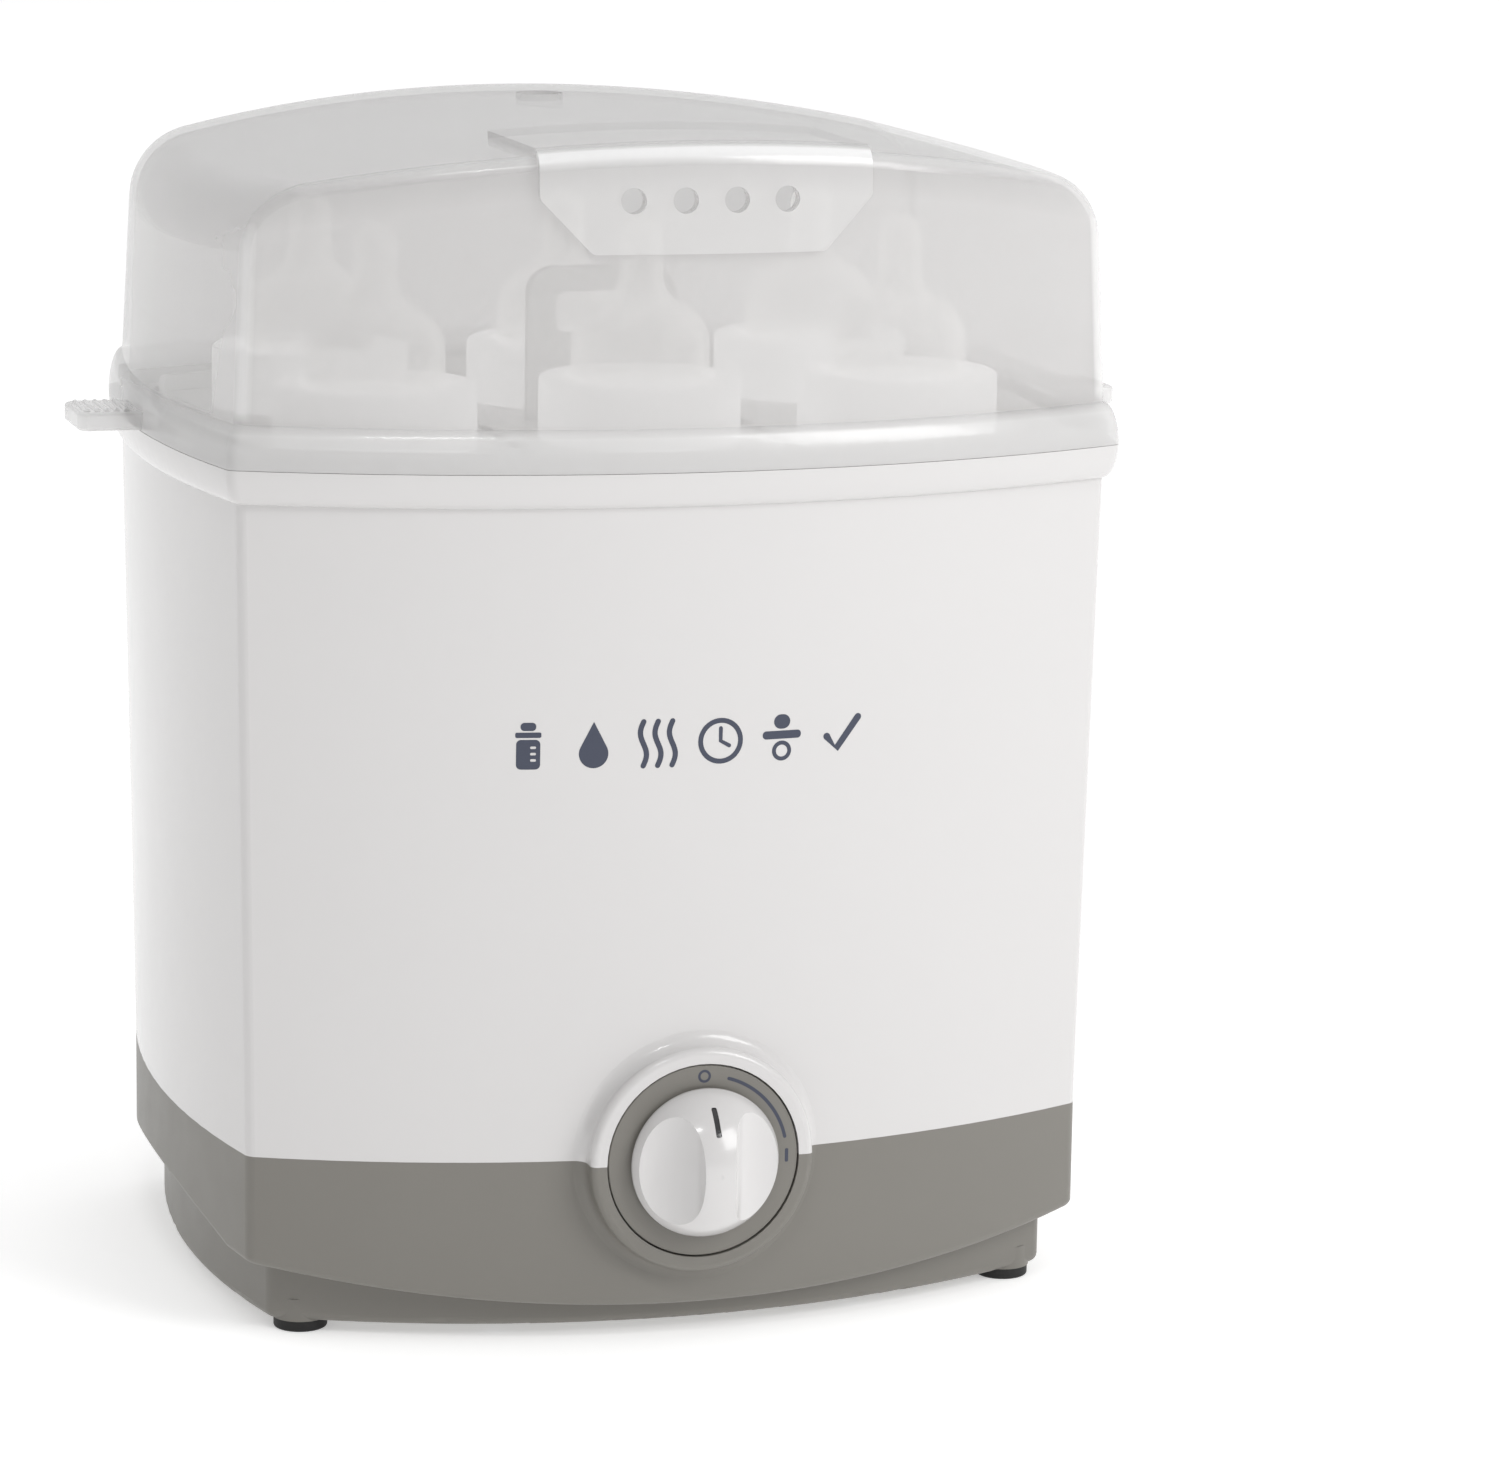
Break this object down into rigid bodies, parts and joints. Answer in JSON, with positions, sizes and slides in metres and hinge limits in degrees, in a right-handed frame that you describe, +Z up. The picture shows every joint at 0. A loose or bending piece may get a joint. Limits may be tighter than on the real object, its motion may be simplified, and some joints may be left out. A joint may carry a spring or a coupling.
{
  "type": "bottle sterilizer",
  "caption": "Electric steam sterilizer for baby bottles with a frosted arched lid, side tabs, white body, grey base and a front dial, racks and heater inside.",
  "frame": {"origin": "on the resting surface, under the middle of the object's box", "axes": "+X to the right seen from the dial's side, -Y towards the dial, +Z up"},
  "size_m": [0.3512, 0.2848, 0.38],
  "materials": {
    "grey_plastic": "satin moulded ABS",
    "white_gloss": "glossy moulded ABS",
    "liner_plastic": "satin polypropylene",
    "lid_frosted": "frosted clear polypropylene",
    "rack_plastic": "satin polypropylene",
    "collar_plastic": "satin polypropylene",
    "silicone": "translucent silicone",
    "foot_rubber": "matte rubber",
    "gasket_rubber": "matte silicone",
    "stainless_plate": "brushed",
    "zinc_steel": "zinc plated",
    "screw_steel": "zinc plated",
    "heater_sheath": "dull sheath",
    "switch_black": "satin phenolic",
    "terminal_plastic": "satin nylon",
    "terminal_brass": "plain brass",
    "pointer_dark": "glossy",
    "lead_brown": "insulation",
    "lead_red": "insulation",
    "lead_blue": "insulation",
    "lead_green": "insulation"
  },
  "bodies": {
    "base": {"base_housing": "grey_plastic", "base_cover": "grey_plastic", "dial_bezel": "grey_plastic", "foot_front_left": "foot_rubber", "foot_front_right": "foot_rubber", "foot_rear_left": "foot_rubber", "foot_rear_right": "foot_rubber", "cover_screws": "screw_steel", "tub_screws": "screw_steel", "clamp_screws": "screw_steel", "switch_screws": "screw_steel", "body_shell": "white_gloss", "chamber_tub": "liner_plastic", "heating_plate": "stainless_plate", "heater_gasket": "gasket_rubber", "plate_clamp": "zinc_steel", "heating_element": "heater_sheath", "thermostat": "switch_black", "thermal_fuse": "heater_sheath", "rotary_switch": "switch_black", "switch_bracket": "zinc_steel", "terminal_block": "terminal_plastic", "terminal_screws": "terminal_brass", "cord_gland": "foot_rubber", "live_lead": "lead_brown", "switch_lead": "lead_red", "heater_lead": "lead_red", "neutral_lead": "lead_blue", "earth_lead": "lead_green"},
    "dial": {"control_dial": "white_gloss", "dial_pointer": "pointer_dark", "switch_shaft": "zinc_steel"},
    "bottle_rack": {"bottle_rack": "rack_plastic", "rack_grip": "rack_plastic"},
    "teat_rack": {"teat_rack": "rack_plastic", "collar_1": "collar_plastic", "collar_2": "collar_plastic", "collar_3": "collar_plastic", "collar_4": "collar_plastic", "collar_5": "collar_plastic", "collar_6": "collar_plastic", "teat_1": "silicone", "teat_2": "silicone", "teat_3": "silicone", "teat_4": "silicone", "teat_5": "silicone", "teat_6": "silicone"},
    "lid": {"lid_cover": "lid_frosted"}
  },
  "joints": [
    {"name": "dial_turn", "type": "hinge", "parent": "base", "child": "dial", "pos_m": [0, -0.1224, 0.0603], "axis": [0, 1, 0], "range_deg": [0, 90]},
    {"name": "bottle_rack_lift", "type": "slide", "parent": "base", "child": "bottle_rack", "axis": [0, 0, 1], "range_m": [0, 0.22]},
    {"name": "teat_rack_lift", "type": "slide", "parent": "bottle_rack", "child": "teat_rack", "axis": [0, 0, 1], "range_m": [0, 0.06]},
    {"name": "lid_lift", "type": "slide", "parent": "teat_rack", "child": "lid", "axis": [0, 0, 1], "range_m": [0, 0.16]}
  ]
}
